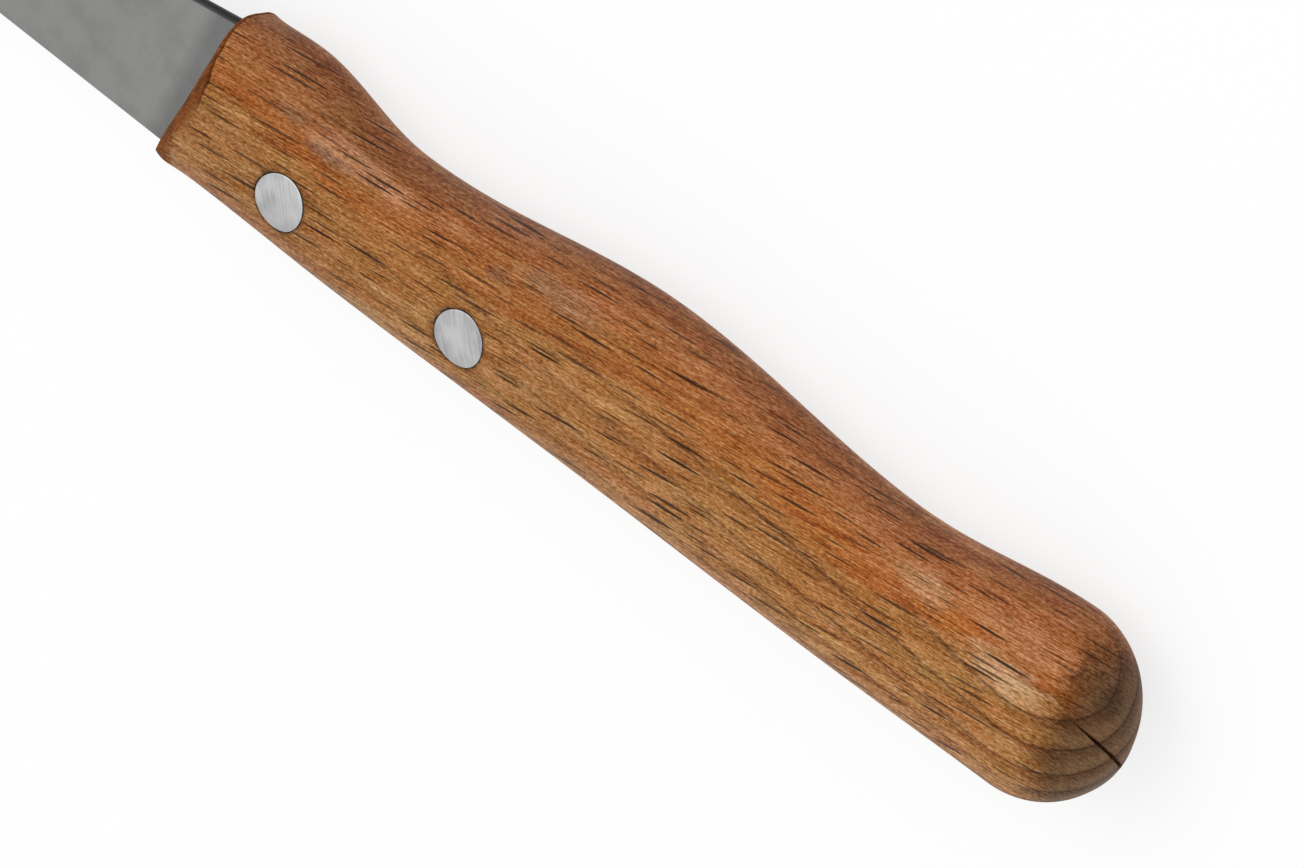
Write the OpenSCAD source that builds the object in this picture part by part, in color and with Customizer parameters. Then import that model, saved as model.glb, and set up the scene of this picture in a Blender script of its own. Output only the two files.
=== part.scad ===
// Paring knife with a one-piece wooden handle, lying on its side.
// Lengths are in millimetres. In the modules x runs back from the middle of the handle's front face
// to the butt, y runs up from the straight underside to the contoured back, and z is the thickness.

/* [Handle] */
// Length of the handle from its front face to the butt
handle_length = 100; // [88:1:130]
// Thickness of the handle between its two sides
handle_thickness = 12.4; // [11:0.1:18]
// Fullness of the oval section: 2 is an ellipse, more is squarer
section_fullness = 2.4; // [2:0.1:4]
// How far the underside bows out at the middle of its length
underside_bow = 0.35; // [0:0.05:1.5]

/* [Contoured back] */
// Distance of the front shoulder from the front face
shoulder_at = 5.7; // [3:0.1:9]
// Height of the front shoulder above the underside
shoulder_height = 15; // [14:0.1:20]
// Distance of the finger groove from the front face
groove_at = 19; // [13:0.5:28]
// Height of the back at the finger groove
groove_height = 12.5; // [12:0.1:16]
// Distance of the palm swell from the front face
swell_at = 47.7; // [38:0.1:58]
// Height of the back at the palm swell
swell_height = 16.3; // [13:0.1:22]
// Distance of the rear waist from the front face
waist_at = 72.3; // [62:0.1:78]
// Height of the back at the rear waist
waist_height = 14.4; // [12:0.1:20]
// Distance of the butt's crest from the end of the butt
crest_from_butt = 6.8; // [4:0.1:9]
// Height of the back at the butt's crest
crest_height = 17.1; // [13:0.1:24]

/* [Handle ends] */
// Length of the rounded end of the butt
butt_round = 8.6; // [5:0.1:12]
// Length of the rounded bevels at the sides of the front end
nose_length = 3; // [1:0.1:4]
// Thickness left at the handle's front face
front_face_thickness = 4.2; // [3:0.1:6]
// Lean of the front face, its underside forward, in degrees
front_lean = 9.6; // [-5:0.1:15]
// Radius of the front corner of the contoured back
back_corner_radius = 0.5; // [0.3:0.1:2.5]
// Radius of the front corner of the underside
underside_corner_radius = 0.5; // [0.2:0.1:2]

/* [Blade] */
// Length of the blade in front of the handle, along the cutting edge
blade_length = 76; // [55:1:110]
// Thickness of the blade's back at the handle, and of the tang
blade_thickness = 1.5; // [0.8:0.1:2.2]
// Thickness left at the cutting edge
edge_thickness = 0.2; // [0.1:0.05:0.4]
// How far the heel of the cutting edge stands below the underside
heel_edge_drop = 0.5; // [0:0.1:4]
// Height of the blade's back above the underside, at the handle
heel_spine_height = 14; // [12:0.1:14.5]
// Rise of the cutting edge towards the tip, in degrees
edge_rise = 1.2; // [0:0.1:3]
// How far the blade's back bows out above a straight line to the tip
spine_bow = 0.25; // [0:0.05:2]

/* [Tang] */
// Height of the tang
tang_height = 8.4; // [6:0.1:9.4]
// How far the tang runs on behind the rear rivet
tang_past_rivet = 12; // [6:0.5:30]
// Radius of the tang's rear corners
tang_corner_radius = 1.5; // [0.5:0.1:2.5]
// Length of the neck between the blade's heel and the tang
neck_length = 0.4; // [0.2:0.1:1]
// How far the neck stands in from the tang's two edges
neck_inset = 0.6; // [0.4:0.1:2]
// How much further from the cutting edge the neck's taper starts than the blade's
neck_set_back = 1; // [0.5:0.1:1.5]

/* [Rivets] */
// Distance of the front rivet from the front face
rivet_front_at = 13.3; // [9:0.1:18]
// Distance between the two rivets
rivet_spacing = 20; // [14:0.5:30]
// Height of the rivets above the underside
rivet_height = 6.1; // [5.5:0.1:6.8]
// Diameter of the rivet heads
rivet_head_d = 5; // [4.4:0.1:7]
// Diameter of the rivet shanks
rivet_shank_d = 3.6; // [2.5:0.1:4.2]
// Depth of the rivet heads, measured at their middle
rivet_head_depth = 1.6; // [1:0.1:2.4]

/* [Fits] */
// Gap between the tang and each wall of its slot
slot_clearance = 0.1; // [0.05:0.05:0.3]
// Gap all round the rivets in the wood and in the tang
rivet_clearance = 0.06; // [0.03:0.01:0.2]
// Gap between the blade's heel and the handle's front face
heel_gap = 0.05; // [0.05:0.05:0.4]

/* [Hidden] */

// Facets: points round the section, steps along the nose, the body and the butt
section_points = 36;
nose_steps = 8;
body_step = 3;
butt_steps = 8;
spine_steps = 16;
$fn = 64;

// A length that reaches past any face it has to cut
beyond = 5;

half_thickness = handle_thickness / 2;
crest_at = handle_length - crest_from_butt;
butt_start = handle_length - butt_round;
lean_ratio = tan(front_lean);
lean_reach = groove_at;
lean_centre = shoulder_height / 2;

// Named heights of the back, each with its distance from the front face
back_at = [shoulder_at, groove_at, swell_at, waist_at, crest_at];
back_height = [shoulder_height, groove_height, swell_height, waist_height, crest_height];

rivet_rear_at = rivet_front_at + rivet_spacing;
tang_end = rivet_rear_at + tang_past_rivet;
tang_low = rivet_height - tang_height / 2;
tang_high = rivet_height + tang_height / 2;

// Radius of the nose's bevels, whose arc runs on from the front face and meets the side at a crease
nose_inset = half_thickness - front_face_thickness / 2;
nose_radius = (pow(nose_length, 2) + pow(nose_inset, 2)) / (2 * nose_length);

// Drop of a quarter round of the given radius, at a distance from the front face
function corner_drop(x, radius) =
    x >= radius ? 0 : radius - sqrt(pow(radius, 2) - pow(radius - x, 2));

// Cosine blend between two heights, level at both ends
function blend(from, to, q) = from + (to - from) * (1 - cos(180 * min(max(q, 0), 1))) / 2;

// Height of the back, blended from one named height to the next
function back_between(x, i) =
    blend(back_height[i], back_height[i + 1], (x - back_at[i]) / (back_at[i + 1] - back_at[i]));
function back_span(x, i = 0) =
    i >= len(back_at) - 2 || x < back_at[i + 1] ? back_between(x, i) : back_span(x, i + 1);
function back_y(x) = back_span(x) - corner_drop(x, back_corner_radius);
function underside_y(x) =
    let (q = x / handle_length)
    corner_drop(x, underside_corner_radius) - underside_bow * 4 * q * (1 - q);

// Share of the full section left in the rounded butt
function butt_share(x) =
    x <= butt_start ? 1 : sqrt(max(0, 1 - pow((x - butt_start) / butt_round, 2)));

// Half the thickness that the bevels of the nose leave, all of it behind them
function bevel_z(x) =
    x < nose_length
        ? front_face_thickness / 2 + sqrt(pow(nose_radius, 2) - pow(nose_radius - x, 2))
        : half_thickness;

// The front face leans, and the lean fades out along the finger groove
function lean_x(x, y) = lean_ratio * (y - lean_centre) * max(0, 1 - x / lean_reach);

// Signed power for the oval section
function signed_power(v, p) = sign(v) * pow(abs(v), p);

// Points of the section, scaled so that its flats touch the true height and thickness
section_power = 2 / section_fullness;
section_flat = pow(cos(180 / section_points), section_power);
section_angles = [for (j = [0 : section_points - 1]) (j + 0.5) * 360 / section_points];
section_round = [for (a = section_angles)
    [signed_power(sin(a), section_power), signed_power(cos(a), section_power)] / section_flat];

// Stations along the handle; the arc of the nose and of the butt take even turns
nose_turn = acos((nose_radius - nose_length) / nose_radius);
nose_stations = [for (i = [0 : nose_steps]) nose_radius * (1 - cos(nose_turn * i / nose_steps))];
body_steps = ceil((butt_start - nose_length) / body_step);
body_stations = [for (i = [1 : body_steps]) nose_length + (butt_start - nose_length) * i / body_steps];
butt_stations = [for (i = [1 : butt_steps - 1]) butt_start + butt_round * sin(90 * i / butt_steps)];
stations = concat(nose_stations, body_stations, butt_stations);

// One ring of the handle's surface
function ring(x) =
    let (
        high = back_y(x),
        low = underside_y(x),
        middle = (high + low) / 2,
        share = butt_share(x),
        half_height = (high - low) / 2 * share,
        limit = bevel_z(x)
    )
    [for (p = section_round)
        let (
            y = middle + half_height * p[0],
            z = half_thickness * share * p[1]
        )
        [x + lean_x(x, y), y, max(-limit, min(limit, z))]];

butt_tip = [handle_length, (back_y(handle_length) + underside_y(handle_length)) / 2, 0];
handle_points = concat([for (x = stations) each ring(x)], [butt_tip]);
last_ring = (len(stations) - 1) * section_points;
next_point = [for (j = [0 : section_points - 1]) (j + 1) % section_points];
front_cap = [[for (j = [section_points - 1 : -1 : 0]) j]];
side_faces = [
    for (i = [0 : len(stations) - 2], j = [0 : section_points - 1])
    let (
        here = i * section_points,
        there = here + section_points
    )
    each [
        [here + j, here + next_point[j], there + next_point[j]],
        [here + j, there + next_point[j], there + j]
    ]
];
butt_fan = [for (j = [0 : section_points - 1])
    [last_ring + j, last_ring + next_point[j], len(handle_points) - 1]];
handle_faces = concat(front_cap, side_faces, butt_fan);

// Corners of the blade's outline
function front_x(y) = lean_x(0, y) - heel_gap;
heel_edge = [front_x(-heel_edge_drop), -heel_edge_drop];
heel_spine = [front_x(heel_spine_height), heel_spine_height];
tip = heel_edge + blade_length * [-cos(edge_rise), sin(edge_rise)];
spine_points = [for (i = [1 : spine_steps])
    let (q = i / spine_steps)
    heel_spine + (tip - heel_spine) * q + [0, spine_bow * 4 * q * (1 - q)]];

// Height of the blade square to its edge, at the heel
heel_height = (heel_spine - heel_edge) * [sin(edge_rise), cos(edge_rise)];
grind_slope = (blade_thickness - edge_thickness) / 2 / heel_height;

// The knife's box, whose middle is the origin of the frame
box_front = tip[0];
box_high = max([for (p = handle_points) p[1]]);
box_low = min(min([for (p = handle_points) p[1]]), heel_edge[1]);
frame_shift = [-(box_front + handle_length) / 2, -(box_high + box_low) / 2, half_thickness];

module in_frame() {
    translate(frame_shift) children();
}

// The whole outside of the handle, with no slot or holes
module handle_body() {
    polyhedron(points = handle_points, faces = handle_faces, convexity = 4);
}

// A round bar along the thickness, longer than the handle is thick
module cross_bar(at, d) {
    translate([at, rivet_height, 0])
        cylinder(d = d, h = handle_thickness + beyond, center = true);
}

// Space taken by a rivet: a shank with a head at each side, grown by a gap
module rivet_space(at, gap) {
    cross_bar(at, rivet_shank_d + 2 * gap);
    for (side = [-1, 1])
        translate([at, rivet_height, side * (half_thickness - rivet_head_depth / 2 + beyond / 4)])
            cylinder(d = rivet_head_d + 2 * gap, h = rivet_head_depth + beyond / 2, center = true);
}

// Outline of the tang, grown by a gap, from a given distance behind the heel
module tang_outline(gap, start) {
    round_r = tang_corner_radius + gap;
    rear = tang_end + gap - round_r;
    for (y = [tang_low - gap + round_r, tang_high + gap - round_r])
        translate([rear, y]) circle(r = round_r);
    polygon([
        [front_x(tang_low - gap) + start, tang_low - gap],
        [rear, tang_low - gap],
        [rear, tang_high + gap],
        [front_x(tang_high + gap) + start, tang_high + gap]
    ]);
    translate([rear - round_r, tang_low - gap + round_r])
        square([2 * round_r, tang_height + 2 * gap - 2 * round_r]);
}

// Wedge between two ground faces, running along the cutting edge or set back from it
module ground_wedge(set_back) {
    low = set_back - edge_thickness;
    high = set_back + heel_height + beyond;
    half_low = edge_thickness / 2 + grind_slope * (low - set_back);
    half_high = edge_thickness / 2 + grind_slope * (high - set_back);
    translate([heel_edge[0], heel_edge[1], 0])
        rotate([0, 0, -edge_rise])
        translate([-blade_length - beyond, 0, 0])
        rotate([90, 0, 90])
        linear_extrude(blade_length + 3 * beyond)
        polygon([[low, -half_low], [high, -half_high], [high, half_high], [low, half_low]]);
}

// Steel: the ground blade, and the neck and tang that the handle hides
module blade() {
    neck_low = tang_low + neck_inset;
    neck_high = tang_high - neck_inset;
    color("#8b8c89") in_frame() difference() {
        union() {
            intersection() {
                linear_extrude(2 * blade_thickness, center = true)
                    polygon(concat([heel_edge, heel_spine], spine_points));
                ground_wedge(0);
            }
            intersection() {
                linear_extrude(2 * blade_thickness, center = true)
                    polygon([
                        [front_x(neck_low) - neck_length, neck_low],
                        [front_x(neck_low) + 2 * neck_length, neck_low],
                        [front_x(neck_high) + 2 * neck_length, neck_high],
                        [front_x(neck_high) - neck_length, neck_high]
                    ]);
                ground_wedge(neck_set_back);
            }
            linear_extrude(blade_thickness, center = true) tang_outline(0, neck_length);
        }
        for (at = [rivet_front_at, rivet_rear_at]) cross_bar(at, rivet_shank_d + 2 * rivet_clearance);
    }
}

// Beech: one piece, slotted for the tang and bored for the rivets
module handle() {
    color("#a06a3e") in_frame() difference() {
        handle_body();
        linear_extrude(blade_thickness + 2 * slot_clearance, center = true)
            tang_outline(slot_clearance, -beyond);
        for (at = [rivet_front_at, rivet_rear_at]) rivet_space(at, rivet_clearance);
    }
}

// Aluminium: heads ground flush with the wood
module rivet(at) {
    color("#bababa") in_frame() intersection() {
        handle_body();
        rivet_space(at, 0);
    }
}

module front_rivet() {
    rivet(rivet_front_at);
}

module rear_rivet() {
    rivet(rivet_rear_at);
}

blade();
handle();
front_rivet();
rear_rivet();
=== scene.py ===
from functools import partial
import bpy
import numpy as np
from mathutils import Matrix, Vector


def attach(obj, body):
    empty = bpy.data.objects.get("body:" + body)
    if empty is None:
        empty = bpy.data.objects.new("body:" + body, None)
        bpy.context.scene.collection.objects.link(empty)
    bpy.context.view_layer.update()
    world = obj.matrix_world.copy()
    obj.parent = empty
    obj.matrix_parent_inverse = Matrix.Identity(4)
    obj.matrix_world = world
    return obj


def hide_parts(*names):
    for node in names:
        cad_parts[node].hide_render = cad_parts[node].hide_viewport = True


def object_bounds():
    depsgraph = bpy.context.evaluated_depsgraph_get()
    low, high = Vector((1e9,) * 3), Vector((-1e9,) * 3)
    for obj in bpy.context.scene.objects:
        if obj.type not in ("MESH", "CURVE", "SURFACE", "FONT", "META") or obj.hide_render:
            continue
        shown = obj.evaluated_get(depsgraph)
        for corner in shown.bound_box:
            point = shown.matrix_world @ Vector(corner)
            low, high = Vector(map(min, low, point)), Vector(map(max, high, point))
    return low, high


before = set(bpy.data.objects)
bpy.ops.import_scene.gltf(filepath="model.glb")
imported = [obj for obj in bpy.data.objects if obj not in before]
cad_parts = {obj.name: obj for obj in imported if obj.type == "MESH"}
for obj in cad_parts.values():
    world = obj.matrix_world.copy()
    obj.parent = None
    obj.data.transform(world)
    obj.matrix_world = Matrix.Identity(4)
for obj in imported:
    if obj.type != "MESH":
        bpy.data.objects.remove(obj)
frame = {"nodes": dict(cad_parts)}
cadBox = [list(corner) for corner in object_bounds()]
mm = 0.001
toMm = (1 / mm, 1 / mm, 1 / mm)
tiny = 1e-9          # keeps divisions clear of 0
creaseAngle = 17.0   # degrees; a sharper fold is drawn as an edge
print("frame loaded:", ", ".join(frame["nodes"]))


# rise from 0 to 1 between two values, level at both ends: 3 q ^ 2 - 2 q ^ 3
def easeStep(v, low, high):
    q = np.clip((v - low) / (high - low), 0, 1)
    return q * q * (3 - 2 * q)


# closed mesh from rings of points with a pole at each end, faces turned outwards; it keeps inside the CAD box
def ringMesh(name, rings, startPole, endPole):
    n, m = rings.shape[:2]
    points = np.vstack([rings.reshape(-1, 3), startPole, endPole])
    first = np.arange(n * m).reshape(n, m)
    nextOne = np.roll(first, -1, axis=1)
    quads = np.stack([first[:-1], nextOne[:-1], nextOne[1:], first[1:]], -1).reshape(-1, 4)
    startFan = np.stack([nextOne[0], first[0], np.full(m, n * m)], -1)
    endFan = np.stack([first[-1], nextOne[-1], np.full(m, n * m + 1)], -1)
    a, b, c, d = (points[quads[:, k]] for k in range(4))
    volume = np.einsum("ij,ij->", a, np.cross(b, c)) + np.einsum("ij,ij->", a, np.cross(c, d))
    if volume < 0:
        quads, startFan, endFan = quads[:, ::-1], startFan[:, ::-1], endFan[:, ::-1]
    placed = np.clip((points + shift) * mm, cadBox[0], cadBox[1])
    mesh = bpy.data.meshes.new(name)
    mesh.from_pydata(placed.tolist(), [], quads.tolist() + startFan.tolist() + endFan.tolist())
    mesh.polygons.foreach_set("use_smooth", np.ones(len(mesh.polygons), dtype=bool))
    mesh.set_sharp_from_angle(angle=np.radians(creaseAngle))
    mesh.update()
    return mesh


# a number or a vector at each vertex, for the materials
def addValues(mesh, name, values):
    kind, key = ("FLOAT", "value") if values.ndim == 1 else ("FLOAT_VECTOR", "vector")
    mesh.attributes.new(name, kind, "POINT").data.foreach_set(key, values.astype(np.float32).ravel())


def newPiece(name, mesh, node, material):
    piece = bpy.data.objects.new(name, mesh)
    bpy.context.collection.objects.link(piece)
    mesh.materials.append(material)
    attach(piece, "root")
    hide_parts(node)
    print(name, "made,", len(mesh.polygons), "faces")


# sRGB hex to linear colour
def linear(text):
    v = np.array([int(text[i:i + 2], 16) for i in (1, 3, 5)]) / 255
    return (*np.where(v <= 0.04045, v / 12.92, ((v + 0.055) / 1.055) ** 2.4), 1.0)


# adds a node with its settings: values go to its inputs in order, or by name in sockets; None leaves one alone, a hex
# colour is made linear, and a node or socket is linked
def addNode(tree, kind, *values, sockets=None, stops=(), **settings):
    made = tree.nodes.new("ShaderNode" + kind)
    for key, value in settings.items():
        setattr(made, key, value)
    given = list(zip([s for s in made.inputs if not s.is_unavailable], values))
    given += [(made.inputs[key], value) for key, value in (sockets or {}).items()]
    for socket, value in given:
        if isinstance(value, bpy.types.Node):
            value = next(s for s in value.outputs if not s.is_unavailable)
        if isinstance(value, bpy.types.NodeSocket):
            tree.links.new(value, socket)
        elif value is not None:
            socket.default_value = linear(value) if isinstance(value, str) else value
    for i, (place, colour) in enumerate([*stops[:1], *stops[:0:-1]]):    # the ramp's own two ends first
        stop = made.color_ramp.elements[i] if i < 2 else made.color_ramp.elements.new(place)
        stop.position, stop.color = place, linear(colour)
    return made


# an empty material, and addNode for its tree
def newMaterial(name):
    material = bpy.data.materials.new(name)
    material.use_nodes = True
    material.node_tree.nodes.clear()
    return material, partial(addNode, material.node_tree)


# handle, in mm: x back from the front face, y up from the straight underside, z from the middle of the thickness
handleSizes = {
    "length": 100.0,
    "thickness": 12.4,
    "fullness": 2.4,                              # 2 is an ellipse, more is squarer
    "underBow": 0.35,
    "backAt": (5.7, 19.0, 47.7, 72.3, 93.2),      # shoulder, groove, swell, waist, crest
    "backHeight": (15.0, 12.5, 16.3, 14.4, 17.1),
    "buttRound": 8.6,
    "noseLength": 3.0,                            # rounded bevels at the sides of the front end
    "frontFace": 4.2,
    "frontLean": 9.6,                             # degrees, underside forward
    "backCorner": 0.15,
    "underCorner": 1.6,
    "underFlare": (0.34, 2.6),                    # depth and spread of the underside's flare at the front

    # wear of the front end
    "wornAt": (0.2, 1.3, 2.4, 3.2, 6.5, 13.0),    # heights on the near front edge
    "wornBack": (0.55, 0.08, 0, 0, 0.25, 0.47),   # and how far it is worn back there
    "wornReach": 6.0,                             # fading out over this length
    "wornSide": (0.5, 3.5),                       # and setting in here from the middle to the near side
    "farDip": (0.3, 1.0, 3.0),                    # depth, place and spread of a sanded dip at the far corner
    "farDipSide": (-0.5, 2.0),                    # setting in here from the middle to the far side
    "farDipHigh": (0.3, 0.8),                     # and here up the section, 0 is its middle and 1 the back
    "bevelOutOfSight": 0.55,                      # mm of the bevel that the photo hides
    "easedAt": (-0.4, 0.3, 0.5, 0.72, 0.9),       # places up the section
    "easedEdge": (2.0, 2.0, 1.8, 0.75, 0.3),      # and mm of worn edge past the hidden part

    # drying crack across the butt's end: a straight V cut in a plane along the handle
    "crackFrom": (11.02, 4.0), "crackTo": (7.21, -0.52),      # y and z
    "crackBefore": 0.9, "crackPast": 1.6,         # how far it runs on
    "crackWidth": 0.3, "crackDepth": 0.8,
    "crackFades": (2.5, 1.2), "crackLeast": 0.15,     # lengths it narrows over, share left at its start
    "crackColumns": (0.4, 0.8, 1.3, 1.9, 2.8, 4.2),   # degrees, to both sides
    "crackClear": 0.012,                          # radians free of other columns
    "poleSink": 0.9,                              # share of the depth

    # rows and columns
    "afterNose": 0.5, "bodyStep": 0.45, "arcColumns": 46,
    "bevelRows": 22, "onwardRows": 10, "onwardCrowd": 1.5,
    "frontRows": (0.35, 0.7),                     # shares of the way from the slot to the rim
    "buttRows": 56, "buttTurns": (84, 86, 88, 89.2),          # degrees: even rows up to the first

    # grid round a rivet, in radii of its recess
    "rivetLines": 25, "rivetRings": (0.9, 0.985, 1.0, 1.02, 1.06, 1.14, 1.3, 1.6, 2.0), "rivetClear": 2.05,
    "rivetRound": (1.14, 2.0), "rivetPull": (1.3, 2.0),       # circles inside, the handle's own grid outside
    "rivetSide": 0.3,                             # least share of the half thickness
    "sinkAt": (0.985, 1.0, 1.02, 1.06), "sink": (0.07, 0.02, 0.0), "sinkGap": 0.06,     # mm: eased rim, floor
    "dirtAt": (1.0, 1.02, 1.06, 1.14, 1.3), "dirt": (1.0, 0.9, 0.5, 0.15, 0.0),

    # share of end grain: on the front face, out over its bevels, and on the butt
    "faceShare": 0.75,
    "softAt": (0, 0.65, 1), "softShare": (0.75, 0.7, 0.1),
    "creaseAt": (0, 0.75, 0.9, 1), "creaseShare": (0.75, 0.75, 1, 0.9),     # dark line at the crease, higher up
    "creaseHigh": (0.0, 0.4),
    "buttFrom": 1.5, "buttFull": 0.6,             # mm from the butt's start and from its end
}
buttStart = handleSizes["length"] - handleSizes["buttRound"]
halfThick = handleSizes["thickness"] / 2
power = handleSizes["fullness"]
leanRatio = np.tan(np.radians(handleSizes["frontLean"]))
leanReach = handleSizes["backAt"][1]
leanCentre = handleSizes["backHeight"][0] / 2
noseInset = halfThick - handleSizes["frontFace"] / 2
noseRadius = (handleSizes["noseLength"] ** 2 + noseInset ** 2) / (2 * handleSizes["noseLength"])


# quarter round at a front corner: radius less the height of a circle
def cornerDrop(x, radius):
    return radius - np.sqrt(np.clip(radius ** 2 - np.clip(radius - x, 0, radius) ** 2, 0, None))


# back of the handle: half cosine waves from each named height to the next
def backLine(x):
    at, height = np.array(handleSizes["backAt"]), np.array(handleSizes["backHeight"])
    i = np.clip(np.searchsorted(at, x) - 1, 0, len(at) - 2)
    q = np.clip((x - at[i]) / (at[i + 1] - at[i]), 0, 1)
    wave = height[i] + (height[i + 1] - height[i]) * (1 - np.cos(np.pi * q)) / 2
    return wave - cornerDrop(x, handleSizes["backCorner"])


# underside: a shallow parabola, with a bell-shaped flare at the front
def underLine(x):
    q = x / handleSizes["length"]
    depth, spread = handleSizes["underFlare"]
    flare = depth * np.exp(-(x / spread) ** 2)
    return cornerDrop(x, handleSizes["underCorner"]) - handleSizes["underBow"] * 4 * q * (1 - q) - flare


# middle and half of the height, before the butt draws it in
def heights(x):
    high, low = backLine(x), underLine(x)
    return (high + low) / 2, (high - low) / 2


# half thickness left by the nose's bevels: an arc of a circle along the nose, then all of it
def bevelHalf(x):
    arc = handleSizes["frontFace"] / 2 + np.sqrt(np.clip(noseRadius ** 2 - (noseRadius - x) ** 2, 0, None))
    return np.where(x < handleSizes["noseLength"], arc, halfThick)


# lean of the front end: its ratio times the height above the middle, fading out evenly to the groove
def leanShift(x, y):
    return leanRatio * (y - leanCentre) * np.clip(1 - x / leanReach, 0, None)


# height of the handle's side behind the nose: z = t (1 - |(y - m) / h| ^ n) ^ (1 / n), after taking out the lean
def sideOver(x, y):
    lean = leanRatio * (y - leanCentre)
    x = np.where(x < leanReach, (x - lean) / (1 - lean / leanReach), x)
    middle, half = heights(x)
    return halfThick * np.clip(1 - np.abs((y - middle) / half) ** power, 0, 1) ** (1 / power)


# unit oval |s| ^ n + |c| ^ n = 1 at an angle from the side (c) towards the back (s)
def unitOval(theta):
    s, c = np.sin(theta), np.cos(theta)
    r = (np.abs(s) ** power + np.abs(c) ** power) ** (-1 / power)
    return r * s, r * c


# angle of the unit oval's point at s on the near side
def ovalAngle(s):
    return np.arctan2(s, np.clip(1 - np.abs(s) ** power, 0, 1) ** (1 / power))


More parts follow.
